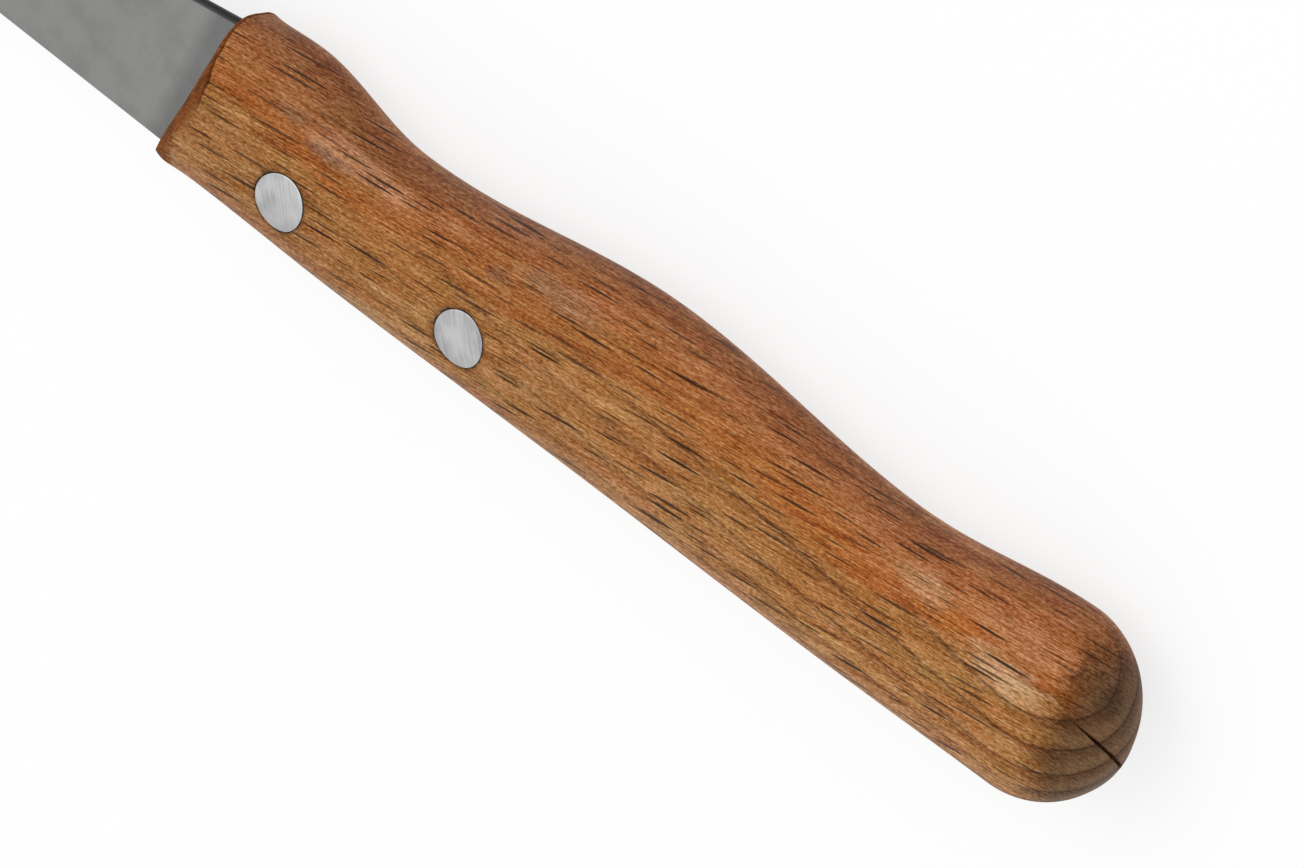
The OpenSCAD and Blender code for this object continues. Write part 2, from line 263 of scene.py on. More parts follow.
# handle: rows along x, columns round the oval; both crowd at the rivets, and the columns at the crack
def makeHandle(material):
    sizes, rivet, blade = handleSizes, rivetSizes, bladeSizes
    recess = rivet["recess"]
    rings = np.array(sizes["rivetRings"])
    fan = np.tan(np.radians(np.linspace(-45, 45, sizes["rivetLines"])))[1:-1]
    local = np.unique(np.concatenate([fan, rings, -rings]))

    # rows of the body: even steps, and patches round the rivets
    bodyStart = sizes["noseLength"] + sizes["afterNose"]
    rows = np.linspace(bodyStart, buttStart, int((buttStart - bodyStart) / sizes["bodyStep"]))
    for at in rivet["at"]:
        rows = rows[np.abs(rows - at) > sizes["rivetClear"] * recess]
    rows = np.unique(np.concatenate([rows, *[at + recess * local for at in rivet["at"]]]).round(5))

    # columns: the patch of one side, the back's arc, the other side's patch mirrored, the underside's arc
    patchMiddle, patchHalf = (np.mean(v) for v in heights(np.array(rivet["at"])))
    patch = ovalAngle((rivet["height"] + recess * local - patchMiddle) / patchHalf)
    arcShare = np.linspace(0, 1, sizes["arcColumns"] + 2)[1:-1]
    backArc = patch[-1] + (np.pi - 2 * patch[-1]) * arcShare
    underArc = np.pi - patch[0] + (np.pi + 2 * patch[0]) * arcShare
    theta = np.mod(np.concatenate([patch, backArc, (np.pi - patch)[::-1], underArc]), 2 * np.pi)

    # crack: its point nearest the axis becomes the pole, and columns crowd where its line meets the rim
    centre, endHalf = (v[0] for v in heights(np.array([sizes["length"]])))
    crackFrom, crackTo = np.array(sizes["crackFrom"]), np.array(sizes["crackTo"])
    along = (crackFrom - crackTo) / np.linalg.norm(crackFrom - crackTo)
    pole = crackTo + along * np.dot(np.array([centre, 0]) - crackTo, along)
    search = np.linspace(-np.pi, np.pi, 7201)    # every 0.05 degrees
    s, c = unitOval(search)
    offY, offZ = centre + endHalf * s - pole[0], halfThick * c - pole[1]
    off = np.abs(offY * along[1] - offZ * along[0])
    ahead = offY * along[0] + offZ * along[1]
    fine = np.radians(sizes["crackColumns"])
    fine = np.concatenate([-fine, [0.0], fine])
    for way in (1, -1):
        turn = search[np.argmin(np.where(way * ahead > 0, off, np.inf))]
        apart = np.abs(np.angle(np.exp(1j * (theta - turn))))
        theta = np.concatenate([theta[apart > sizes["crackClear"]], np.mod(turn + fine, 2 * np.pi)])
    theta = np.unique(theta.round(6))

    # rows of the nose: along the bevel to its crease with the side, x = R (1 - cos turn), with a worn edge where it is
    # narrow, then on to the body
    s, c = unitOval(theta)
    bevelEnd = np.arcsin(np.clip((np.abs(halfThick * c) - sizes["frontFace"] / 2) / noseRadius, 0, 1))
    creaseX = noseRadius * (1 - np.cos(bevelEnd))
    worn = np.minimum(creaseX, sizes["bevelOutOfSight"]) + np.interp(s, sizes["easedAt"], sizes["easedEdge"])
    bevelEnd = np.arccos(1 - np.maximum(creaseX, worn) / noseRadius)
    bevel = noseRadius * (1 - np.cos(bevelEnd * np.linspace(0, 1, sizes["bevelRows"])[:, None]))
    onward = np.linspace(0, 1, sizes["onwardRows"] + 2)[1:-1, None] ** sizes["onwardCrowd"]
    onward = bevel[-1] + (bodyStart - bevel[-1]) * onward
    flatX = np.concatenate([bevel, onward, rows[:, None] + 0 * theta])

    # sides: y = middle + half height times s, z = half thickness times c within the bevel, then the lean
    middle, half = heights(flatX)
    y = middle + half * s
    z = np.clip(halfThick * c, -bevelHalf(flatX), bevelHalf(flatX))
    x = flatX + leanShift(flatX, y)

    # front end, worn by hand: the near edge is worn back, and a bell-shaped dip lowers the far upper corner
    back = np.interp(y, sizes["wornAt"], sizes["wornBack"])
    x = x + back * easeStep(z, *sizes["wornSide"]) * np.clip(1 - flatX / sizes["wornReach"], 0, 1)
    dipDepth, dipAt, dipSpread = sizes["farDip"]
    dip = dipDepth * np.exp(-((flatX - dipAt) / dipSpread) ** 2)
    y = y - dip * easeStep(-z, *sizes["farDipSide"]) * easeStep(s, *sizes["farDipHigh"])

    # rivet patches: square rings of the grid become circles, the disc inside is sunk
    side = np.where(c > 0, 1.0, -1.0)
    rivetRim = np.zeros_like(y)
    v = np.broadcast_to((patchMiddle + patchHalf * s - rivet["height"]) / recess, y.shape)
    for at in rivet["at"]:
        u = (flatX - at) / recess
        ring = np.maximum(np.abs(u), np.abs(v))
        toCircle = 1 - easeStep(ring, *sizes["rivetRound"])
        keep = 1 + toCircle * (ring / np.maximum(np.hypot(u, v), tiny) - 1)
        pull = 1 - easeStep(ring, *sizes["rivetPull"])
        inside = (ring < rings[-1]) & (np.abs(c) > sizes["rivetSide"])
        newX = x + pull * (at + recess * u * keep - x)
        newY = y + pull * (rivet["height"] + recess * v * keep - y)
        over = sideOver(newX, newY)
        deepest = over.max() - halfThick + rivet["headDepth"] + sizes["sinkGap"]
        sink = np.interp(ring, sizes["sinkAt"], [deepest, *sizes["sink"]])
        x, y = np.where(inside, newX, x), np.where(inside, newY, y)
        z = np.where(inside, side * (over - sink), z)
        rivetRim = np.where(inside, np.interp(ring, sizes["dirtAt"], sizes["dirt"]), rivetRim)
    body = np.stack([x, y, z], -1)

    # butt: the unit oval shrinks to a pole on the crack, and x = start + round sqrt(1 - norm ^ 2)
    lastEven, *lastTurns = sizes["buttTurns"]
    turns = np.concatenate([np.linspace(0, lastEven, sizes["buttRows"] + 1)[1:], lastTurns])
    share = np.cos(np.radians(turns))[:, None]
    poleS, poleC = (pole[0] - centre) / endHalf, pole[1] / halfThick
    capS, capC = share * s + (1 - share) * poleS, share * c + (1 - share) * poleC
    norm = (np.abs(capS) ** power + np.abs(capC) ** power) ** (1 / power)
    capX = buttStart + sizes["buttRound"] * np.sqrt(np.clip(1 - norm ** 2, 0, 1))
    capMiddle, capHalf = heights(capX)
    cap = np.stack([capX, capMiddle + capHalf * capS, halfThick * capC], -1)

    # crack: depth times 1 - distance / half width, narrowing at both ends, cut towards the middle of the butt
    offY, offZ = cap[..., 1] - pole[0], cap[..., 2] - pole[1]
    off = np.abs(offY * along[1] - offZ * along[0])
    run = offY * along[0] + offZ * along[1]
    startRun = np.dot(crackFrom - pole, along) + sizes["crackBefore"]
    endRun = np.dot(crackTo - pole, along) - sizes["crackPast"]
    startFade, endFade = sizes["crackFades"]
    least = sizes["crackLeast"]
    taper = (easeStep(run, startRun, startRun - startFade) * (1 - least) + least) * (run < startRun)
    taper = taper * easeStep(run, endRun, endRun + endFade)
    cut = np.clip(1 - off / np.maximum(sizes["crackWidth"] / 2 * taper, tiny), 0, 1)
    cut = sizes["crackDepth"] * taper * cut
    inward = np.array([buttStart, centre, 0]) - cap
    cap = cap + inward / np.linalg.norm(inward, axis=-1, keepdims=True) * cut[..., None]

    # front: the face runs in to the slot for the tang
    slotEnd = blade["tangEnd"] + blade["tangGap"]
    slotY = blade["tangHeight"] / 2 + blade["tangGap"]
    slotZ = blade["thickness"] / 2 + blade["tangGap"]
    sine, cosine = np.sin(theta), np.cos(theta)
    box = np.minimum(slotY / np.maximum(np.abs(sine), tiny), slotZ / np.maximum(np.abs(cosine), tiny))
    mouthY, mouthZ = rivet["height"] + box * sine, box * cosine
    mouth = np.stack([leanShift(0, mouthY), mouthY, mouthZ], -1)
    slot = np.stack([np.full_like(mouthY, slotEnd), mouthY, mouthZ], -1)
    between = mouth + (body[0] - mouth) * np.array(sizes["frontRows"])[:, None, None]
    front = np.concatenate([slot[None], mouth[None], between])

    # values for the wood: end grain (front below 0, butt above), dirt at the rivets, cut along the rings, angle
    grid = np.concatenate([front, body, cap])
    endFace, rim = np.zeros(grid.shape[:2]), np.zeros(grid.shape[:2])
    out = bevel / bevel[-1]
    soft = np.interp(out, sizes["softAt"], sizes["softShare"])
    creased = np.interp(out, sizes["creaseAt"], sizes["creaseShare"])
    endFace[:len(front)] = -sizes["faceShare"]
    endFace[len(front):len(front) + len(bevel)] = -(soft + (creased - soft) * easeStep(s, *sizes["creaseHigh"]))
    endFace[-len(cap):] = easeStep(capX, buttStart + sizes["buttFrom"], sizes["length"] - sizes["buttFull"])
    rim[len(front):len(front) + len(body)] = rivetRim
    poleNorm = (np.abs(poleS) ** power + np.abs(poleC) ** power) ** (1 / power)
    poleX = buttStart + sizes["buttRound"] * np.sqrt(1 - poleNorm ** 2)
    endPole = [poleX - sizes["crackDepth"] * sizes["poleSink"], *pole]
    mesh = ringMesh("handleSkin", grid, [slotEnd, rivet["height"], 0], endPole)
    normals = np.empty(3 * len(mesh.vertices), dtype=np.float32)
    mesh.vertices.foreach_get("normal", normals)
    around = np.column_stack([np.tile(cosine, len(grid)), np.tile(sine, len(grid)), np.zeros(endFace.size)])
    addValues(mesh, "endFace", np.concatenate([endFace.ravel(), [-sizes["faceShare"], 1.0]]))
    addValues(mesh, "rivetRim", np.concatenate([rim.ravel(), [0.0, 0.0]]))
    addValues(mesh, "flatCut", np.abs(normals.reshape(-1, 3) @ np.array(beech["radial"])))
    addValues(mesh, "around", np.concatenate([around, np.zeros((2, 3))]))
    newPiece("beechHandle", mesh, "handle", material)


# oiled beech, sanded: warm brown, tan on the flat sides and redder round the back; fine fibres along the grain,
# dark spindle-shaped rays, growth rings as lines, darker end grain, dirt in the joints round the rivets
# sizes are mm along the grain, across it and along the rays; ranges are from, to and the values there, or 0 and 1
beech = {
    "grain": (1.0, 0.11, -0.03),              # along the fibres
    "radial": (-0.035, 0.545, 0.845),         # along the rays
    "wave": (24, 6, 6), "waveDetail": 2.0,    # the grain wanders
    "waveBend": (0.0, 0.7, 0.8), "waveTurn": 45.0,            # mm, and degrees for the colours round the section
    "noises": {                               # size, detail, roughness
        "dark": ((26, 0.9, 3.0), 3.0, 0.6),
        "pale": ((9, 0.5, 1.6), 3.0, 0.6),
        "ragged": ((2.5, 0.6, 0.9), 3.0, 0.6),
        "tint": ((7, 1.0, 2.5), 3.0, 0.6),
        "fibre": ((4.5, 0.12, 1.0), 2.0, 0.6),                # these two are drawn coarser than real, to show
        "fleck": ((0.42, 0.1, 0.3), 1.0, 0.5)},
    "round": (                                # degrees round the section from the side, colour
        (-90, "#8c6642"), (-52, "#a67246"), (-30, "#a57444"), (15, "#a06c39"), (36, "#9c622d"), (58, "#a3673b"),
        (80, "#955c34"), (105, "#86502a"), (120, "#a06a40"), (145, "#a2682f"), (165, "#a06c39"), (210, "#a57444"),
        (270, "#8c6642")),
    "streaks": (                              # noise, range, factor on the colour
        ("dark", (0.46, 0.66, 0.0, 0.9), (0.84, 0.68, 0.48)),
        ("pale", (0.48, 0.72, 0.0, 0.9), (1.14, 1.26, 1.5))),
    "band": "#a8540c", "bandAngles": ((24, 31), (52, 35)),    # orange band: degrees of its rise and fall
    "bandEnds": ((10.0, 28.0, 1.0, 0.25), (54.0, 68.0, 0.25, 1.0)),       # mm from the front
    "bandStreaks": (0.35, 0.6, 0.5, 0.3),     # less in the pale streaks
    "buttRim": "#4a2c0a", "buttMiddle": "#5e4c3a",
    "buttMiddleRange": (0.5, 1.0), "buttRange": (0.05, 0.7, 0.0, 0.8),
    # the pale spots at 90.8 mm on the near side and at 17 mm high on the groove are painted highlights
    "spotsAndHighlights": (                              # rubbed and dirty spots: place and half sizes in mm, colour, strength
        ((90.8, 11.8, 6.0), (4.5, 1.4, 3.0), "#c49e78", 0.68), ((80.5, 13.4, 4.5), (3.0, 1.3, 1.5), "#ac8460", 0.55),
        ((90.8, 14.8, 4.7), (5.0, 2.0, 2.2), "#a87450", 0.5), ((17.0, 11.9, 3.4), (6.5, 1.1, 1.5), "#c28e6a", 0.6),
        ((39.5, 14.3, 4.3), (6.0, 1.2, 1.4), "#8a6850", 0.5), ((10.8, 12.8, 4.4), (2.8, 0.6, 0.8), "#745c4a", 0.45),
        ((15.2, 11.6, 4.6), (3.4, 0.5, 0.7), "#6a5446", 0.5), ((34.0, 12.6, 4.6), (2.0, 0.6, 0.8), "#6a5040", 0.4),
        ((98.2, 13.4, 1.7), (1.8, 1.8, 1.6), "#3a2a12", 0.6)),
    "patchEdge": (1.3, 2.0), "patchRagged": 1.6,
    "front": "#84461a", "frontLine": "#40200e", "frontRange": (0.0, 0.75, 0.0, 0.9),
    "lineSize": (0.4, 4.0, 0.2), "lineDetail": 2.0,           # mm along x, y and z
    "lineRange": (0.42, 0.66), "creaseRange": (0.8, 1.0, 0.0, 0.8),
    "rings": (0.06, 0.78, 0.62), "ringStep": 2.1, "ringAt": 15.5,         # across the growth rings, mm, mm
    "ringLine": "#3c2310",
    "ringShade": ((0.0, "#404040"), (0.1, "#000000"), (0.45, "#000000"), (0.86, "#9c9c9c"), (0.95, "#ffffff"),
                  (1.0, "#808080")),
    "ringPower": (0.0, 0.5, 1.0, 0.5),        # broader on the butt
    "ringAlong": (15.0, 80.0, 0.22, 0.7), "ringRound": (22.0, 38.0, 1.0, 0.0), "ringOnButt": (0.0, 0.6, 0.0, 0.9),
    "tintSpread": (0.3, 0.3, 0.3), "tintLeast": (0.86, 0.84, 0.8), "tintAlong": (0.0, 90.0, 0.91, 1.07),
    "fibreTone": (0.3, 0.7, -0.1, 0.1), "fleckTone": (0.25, 0.75, -0.13, 0.13),
    "toneOnButt": (0.3, 1.0, 1.0, 0.45), "toneOnFront": (0.2, 0.7, 1.0, 0.4),
    "eyeGamma": 2.2, "darkest": (0.02, 0.02, 0.02),
    "ray": "#1e1007",
    "rays": (                                 # mm along and across, least reach, its spread, sharpness, darkness
        (11.5, 0.52, 0.1, 0.14, 38.0, 1.0),
        (3.6, 0.26, 0.0, 0.2, 24.0, 0.6)),
    "rayPoint": 1.4, "rayPale": 0.65,         # below 2 draws out a ray's ends; darkness of the palest
    "rayCut": (0.15, 0.4), "rayOnButt": (0.3, 0.95, 0.95, 0.15), "rayOnFront": (0.25, 0.7, 1.0, 0.25),
    "dirt": "#1c120b", "dirtRagged": (0.4, 0.6, 0.4, 1.0),
    "fibreRelief": 0.5, "bump": 0.35, "bumpDepth": 0.00005,               # metres
    "roughness": 0.5, "fibreRough": 0.2, "frontRough": (0.0, 0.6, 0.0, 0.45),     # matt end grain
    "ior": 1.5, "gloss": 0.12,
}


def makeBeech():
    material, add = newMaterial("oiledBeech")
    grain = np.array(beech["grain"]) / np.linalg.norm(beech["grain"])
    radial = np.array(beech["radial"]) - grain * np.dot(beech["radial"], grain)
    radial = radial / np.linalg.norm(radial)
    turn = Matrix((grain, np.cross(radial, grain), radial))
    place = add("TexCoord").outputs["Object"]
    inMm = add("Mapping", place, -(turn @ Vector(shift)), turn.to_euler(), toMm)
    plain = add("VectorMath", place, toMm, tuple(-shift), operation="MULTIPLY_ADD")
    fromFront = add("SeparateXYZ", plain).outputs["X"]
    endFace = add("Attribute", attribute_name="endFace").outputs["Fac"]
    flatCut = add("Attribute", attribute_name="flatCut").outputs["Fac"]
    rivetRim = add("Attribute", attribute_name="rivetRim").outputs["Fac"]
    around = add("SeparateXYZ", add("Attribute", attribute_name="around").outputs["Vector"])
    butt = add("Math", endFace, 0.0, operation="MAXIMUM")
    front = add("Math", endFace, -1.0, operation="MULTIPLY", use_clamp=True)

    # the grain wanders a little, and the noises with it
    wander = add("VectorMath", inMm, beech["wave"], operation="DIVIDE")
    wander = add("TexNoise", wander, 1.0, beech["waveDetail"]).outputs["Color"]
    wave = add("VectorMath", wander, (0.5, 0.5, 0.5), operation="SUBTRACT")
    bend = add("VectorMath", wave, beech["waveBend"], operation="MULTIPLY")
    wood = add("VectorMath", inMm, bend, operation="ADD")
    noise = {name: add("TexNoise", add("VectorMath", wood, size, operation="DIVIDE"), 1.0, detail, rough)
             for name, (size, detail, rough) in beech["noises"].items()}

    # colour round the section, its borders uneven
    angle = add("Math", around.outputs["Y"], around.outputs["X"], operation="ARCTAN2")
    angle = add("Math", angle, np.degrees(1), operation="MULTIPLY")
    uneven = add("Math", add("SeparateXYZ", wave).outputs["X"], beech["waveTurn"], angle, operation="MULTIPLY_ADD")
    first, last = beech["round"][0][0], beech["round"][-1][0]
    wrapped = add("Math", uneven, last, first, operation="WRAP")
    stops = [((at - first) / (last - first), colour) for at, colour in beech["round"]]
    colour = add("ValToRGB", add("MapRange", wrapped, first, last), stops=stops)

    # long darker and shorter paler streaks
    for name, limits, factor in beech["streaks"]:
        changed = add("VectorMath", colour, factor, operation="MULTIPLY")
        colour = add("Mix", add("MapRange", noise[name], *limits), colour, changed, data_type="RGBA")

    # orange band between side and back, full near both ends
    rise, fall = (add("MapRange", uneven, *limits) for limits in beech["bandAngles"])
    ends = add("Math", *(add("MapRange", fromFront, *limits) for limits in beech["bandEnds"]), operation="MAXIMUM")
    band = add("Math", rise, fall, operation="MULTIPLY")
    for share in (ends, add("MapRange", noise["pale"], *beech["bandStreaks"])):
        band = add("Math", band, share, operation="MULTIPLY")
    colour = add("Mix", band, colour, beech["band"], data_type="RGBA")

    # end grain of the butt, darker towards its rim
    share = add("MapRange", butt, *beech["buttMiddleRange"])
    endGrain = add("Mix", share, beech["buttRim"], beech["buttMiddle"], data_type="RGBA")
    colour = add("Mix", add("MapRange", butt, *beech["buttRange"]), colour, endGrain, data_type="RGBA")

    # rubbed and dirty spots with ragged edges; the pale ones high on the groove and where the butt's rounding begins
    # are painted highlights
    for at, reach, shade, strength in beech["spotsAndHighlights"]:
        away = add("VectorMath", add("VectorMath", plain, at, operation="SUBTRACT"), reach, operation="DIVIDE")
        away = add("VectorMath", away, operation="LENGTH").outputs["Value"]
        away = add("Math", noise["ragged"], beech["patchRagged"], away, operation="MULTIPLY_ADD")
        share = add("MapRange", away, *beech["patchEdge"], strength, 0.0)
        colour = add("Mix", share, colour, shade, data_type="RGBA")

    # end grain of the front with lines along the strip, dark at the crease
    lines = add("VectorMath", plain, beech["lineSize"], operation="DIVIDE")
    lines = add("MapRange", add("TexNoise", lines, 1.0, beech["lineDetail"]), *beech["lineRange"])
    endGrain = add("Mix", lines, beech["front"], beech["frontLine"], data_type="RGBA")
    share = add("MapRange", front, *beech["creaseRange"])
    endGrain = add("Mix", share, endGrain, beech["frontLine"], data_type="RGBA")
    colour = add("Mix", add("MapRange", front, *beech["frontRange"]), colour, endGrain, data_type="RGBA")

    # growth rings: each darkens slowly and ends sharply; on the sides towards the butt, broader on the butt
    depth = add("VectorMath", plain, beech["rings"], operation="DOT_PRODUCT").outputs["Value"]
    depth = add("Math", add("SeparateXYZ", bend).outputs["Z"], depth, operation="ADD")
    step = beech["ringStep"]
    ring = add("Math", depth, 1 / step, -beech["ringAt"] / step, operation="MULTIPLY_ADD")
    ring = add("ValToRGB", add("Math", ring, operation="FRACT"), stops=beech["ringShade"])
    ring = add("Math", ring, add("MapRange", butt, *beech["ringPower"]), operation="POWER")
    ringShow = add("MapRange", fromFront, *beech["ringAlong"])
    ringShow = add("Math", ringShow, add("MapRange", angle, *beech["ringRound"]), operation="MULTIPLY")
    ringShow = add("Math", ringShow, add("MapRange", butt, *beech["ringOnButt"]), operation="MAXIMUM")
    ring = add("Math", ring, ringShow, operation="MULTIPLY")
    colour = add("Mix", ring, colour, beech["ringLine"], data_type="RGBA")

    # uneven tint, brighter towards the butt
    tint = noise["tint"].outputs["Color"]
    tint = add("VectorMath", tint, beech["tintSpread"], beech["tintLeast"], operation="MULTIPLY_ADD")
    tint = add("VectorMath", tint, add("MapRange", fromFront, *beech["tintAlong"]), operation="SCALE")
    colour = add("VectorMath", colour, tint, operation="MULTIPLY")

    # fibres and flecks, added to the colour as the eye sees it, fainter on end grain
    fibre, fleck = (add("MapRange", noise[name], *beech[name + "Tone"]) for name in ("fibre", "fleck"))
    tone = add("Math", fibre, fleck, operation="ADD")
    for share in (add("MapRange", butt, *beech["toneOnButt"]), add("MapRange", front, *beech["toneOnFront"])):
        tone = add("Math", tone, share, operation="MULTIPLY")
    colour = add("VectorMath", add("Gamma", colour, 1 / beech["eyeGamma"]), tone, operation="ADD")
    colour = add("VectorMath", colour, beech["darkest"], operation="MAXIMUM")
    colour = add("Gamma", colour, beech["eyeGamma"])

    # rays: stretched cells, each with a spindle of its own size and darkness, on faces cut along the rings
    rays = 0.0
    for along, across, least, spread, sharp, darkness in beech["rays"]:
        cells = add("TexVoronoi", add("VectorMath", wood, (along, across, 1), operation="DIVIDE"), 1.0,
                    sockets={"Exponent": beech["rayPoint"]}, voronoi_dimensions="2D", distance="MINKOWSKI")
        chance = add("SeparateColor", cells.outputs["Color"])
        reach = add("Math", chance.outputs[0], spread, least, operation="MULTIPLY_ADD")
        spindle = add("Math", reach, cells.outputs["Distance"], operation="SUBTRACT")
        spindle = add("Math", spindle, sharp, operation="MULTIPLY", use_clamp=True)
        shade = add("MapRange", chance.outputs[1], 0.0, 1.0, beech["rayPale"] * darkness, darkness)
        spindle = add("Math", spindle, shade, operation="MULTIPLY")
        rays = add("Math", rays, spindle, operation="MAXIMUM")
    for value, limits in ((flatCut, "rayCut"), (butt, "rayOnButt"), (front, "rayOnFront")):
        rays = add("Math", rays, add("MapRange", value, *beech[limits]), operation="MULTIPLY")
    colour = add("Mix", rays, colour, beech["ray"], data_type="RGBA")

    # dirt in the joint round the rivets
    dirt = add("Math", rivetRim, add("MapRange", noise["ragged"], *beech["dirtRagged"]), operation="MULTIPLY")
    colour = add("Mix", dirt, colour, beech["dirt"], data_type="RGBA")

    # relief of fibres and rays; matt end grain at the front
    relief = add("Math", noise["fibre"], beech["fibreRelief"], operation="MULTIPLY")
    relief = add("Math", relief, rays, operation="SUBTRACT")
    bump = add("Bump", beech["bump"], beech["bumpDepth"], sockets={"Height": relief})
    smoothest = beech["roughness"] - beech["fibreRough"] / 2
    rough = add("Math", noise["fibre"], beech["fibreRough"], smoothest, operation="MULTIPLY_ADD")
    matt = add("MapRange", front, *beech["frontRough"])
    rough = add("Math", rough, matt, operation="ADD", use_clamp=True)
    shader = add("BsdfPrincipled", sockets={"Base Color": colour, "Roughness": rough, "Normal": bump,
                                            "IOR": beech["ior"], "Specular IOR Level": beech["gloss"]})
    add("OutputMaterial", shader)
    return material


# rivets, in mm: places along the handle and height up it
rivetSizes = {
    "at": (13.3, 33.3), "height": 6.1,
    "radius": 2.5, "shank": 1.8, "headDepth": 1.6, "recess": 2.55, "edgeRound": 0.06,
    "discs": (0.4, 0.8, 1.2, 1.6, 2.0, 2.3), "edgeSteps": 6, "steps": 96,
}


# rivet: discs that follow the handle's side, an eased edge, the head's wall and the shank, mirrored to the far side
def makeRivet(name, node, at, material):
    sizes = rivetSizes
    turn = np.linspace(0, 2 * np.pi, sizes["steps"], endpoint=False)
    ease = np.radians(np.linspace(0, 90, sizes["edgeSteps"]))
    eased = sizes["radius"] - sizes["edgeRound"] * (1 - np.sin(ease))
    radius = np.concatenate([sizes["discs"], eased])[:, None]
    drop = np.concatenate([np.zeros(len(sizes["discs"])), sizes["edgeRound"] * (1 - np.cos(ease))])[:, None]
    x, y = at + radius * np.cos(turn), sizes["height"] + radius * np.sin(turn)
    head = np.stack([x, y, sideOver(x, y) - drop], -1)
    low = halfThick - sizes["headDepth"]
    under = [[at + r * np.cos(turn), sizes["height"] + r * np.sin(turn), np.full_like(turn, low)]
             for r in (sizes["radius"], sizes["shank"])]
    half = np.concatenate([head, np.stack(under).transpose(0, 2, 1)])
    grid = np.concatenate([half, half[::-1] * [1, 1, -1]])
    top = float(sideOver(np.array(at), np.array(sizes["height"])))
    mesh = ringMesh(name + "Skin", grid, [at, sizes["height"], top], [at, sizes["height"], -top])
    newPiece(name, mesh, node, material)


# aluminium sanded flush: pale grey with fine scratches one way and soft dull patches
sandedAluminium = {
    "bright": "#d5d5d5", "dull": "#acacae", "toneRange": (0.75, 1.2),
    "scratchSize": (0.13, 4.0, 4.0), "scratchDetail": 3.0, "turn": -0.55,     # mm, coarser than the grit; radians
    "patch": 2.4, "patchDetail": 2.0,         # mm
    "roughness": (0.3, 0.7, 0.34, 0.44), "bump": 0.12, "bumpDepth": 0.00001,  # range and values, strength, metres
}


def makeAluminium():
    material, add = newMaterial("sandedAluminium")
    look = sandedAluminium
    inMm = add("Mapping", add("TexCoord").outputs["Object"], None, (0, 0, look["turn"]), toMm)
    line = add("VectorMath", inMm, look["scratchSize"], operation="DIVIDE")
    line = add("TexNoise", line, 1.0, look["scratchDetail"])
    patch = add("TexNoise", inMm, 1 / look["patch"], look["patchDetail"])
    tone = add("MapRange", add("Math", line, patch, operation="ADD"), *look["toneRange"])
    colour = add("Mix", tone, look["dull"], look["bright"], data_type="RGBA")
    rough = add("MapRange", line, *look["roughness"])
    bump = add("Bump", look["bump"], look["bumpDepth"], sockets={"Height": line})
    shader = add("BsdfPrincipled", sockets={"Base Color": colour, "Metallic": 1.0, "Roughness": rough, "Normal": bump})
    add("OutputMaterial", shader)
    return material


# blade and its tang, in mm
bladeSizes = {
    "length": 76.0, "thickness": 1.5, "edge": 0.2,
    "heelDrop": 0.5, "spineHeight": 14.0, "heelGap": 0.05,
    "edgeRise": 1.2, "spineBow": 0.25,            # degrees, mm
    "edgeRound": 0.08, "spineRound": 0.5,
    "edgeMost": 0.2, "spineMost": 0.3,            # shares of the height that they keep within, near the tip
    # dark of the back: unground, and a painted dark reflection that grows as the rounding turns up
    "spineDark": 0.7,                             # below 1 the dark of the back reaches further down its rounding
    "stations": 150, "crowd": 1.3, "edgeSteps": 6, "spineSteps": 12, "faceColumns": 20,
    "tangHeight": 8.4, "tangEnd": 45.3, "tangGap": 0.1, "tangBevel": 1 / 14,      # share of the height
    "neckLength": 0.4, "neckShare": 0.5,          # the tang starts at half its thickness
}


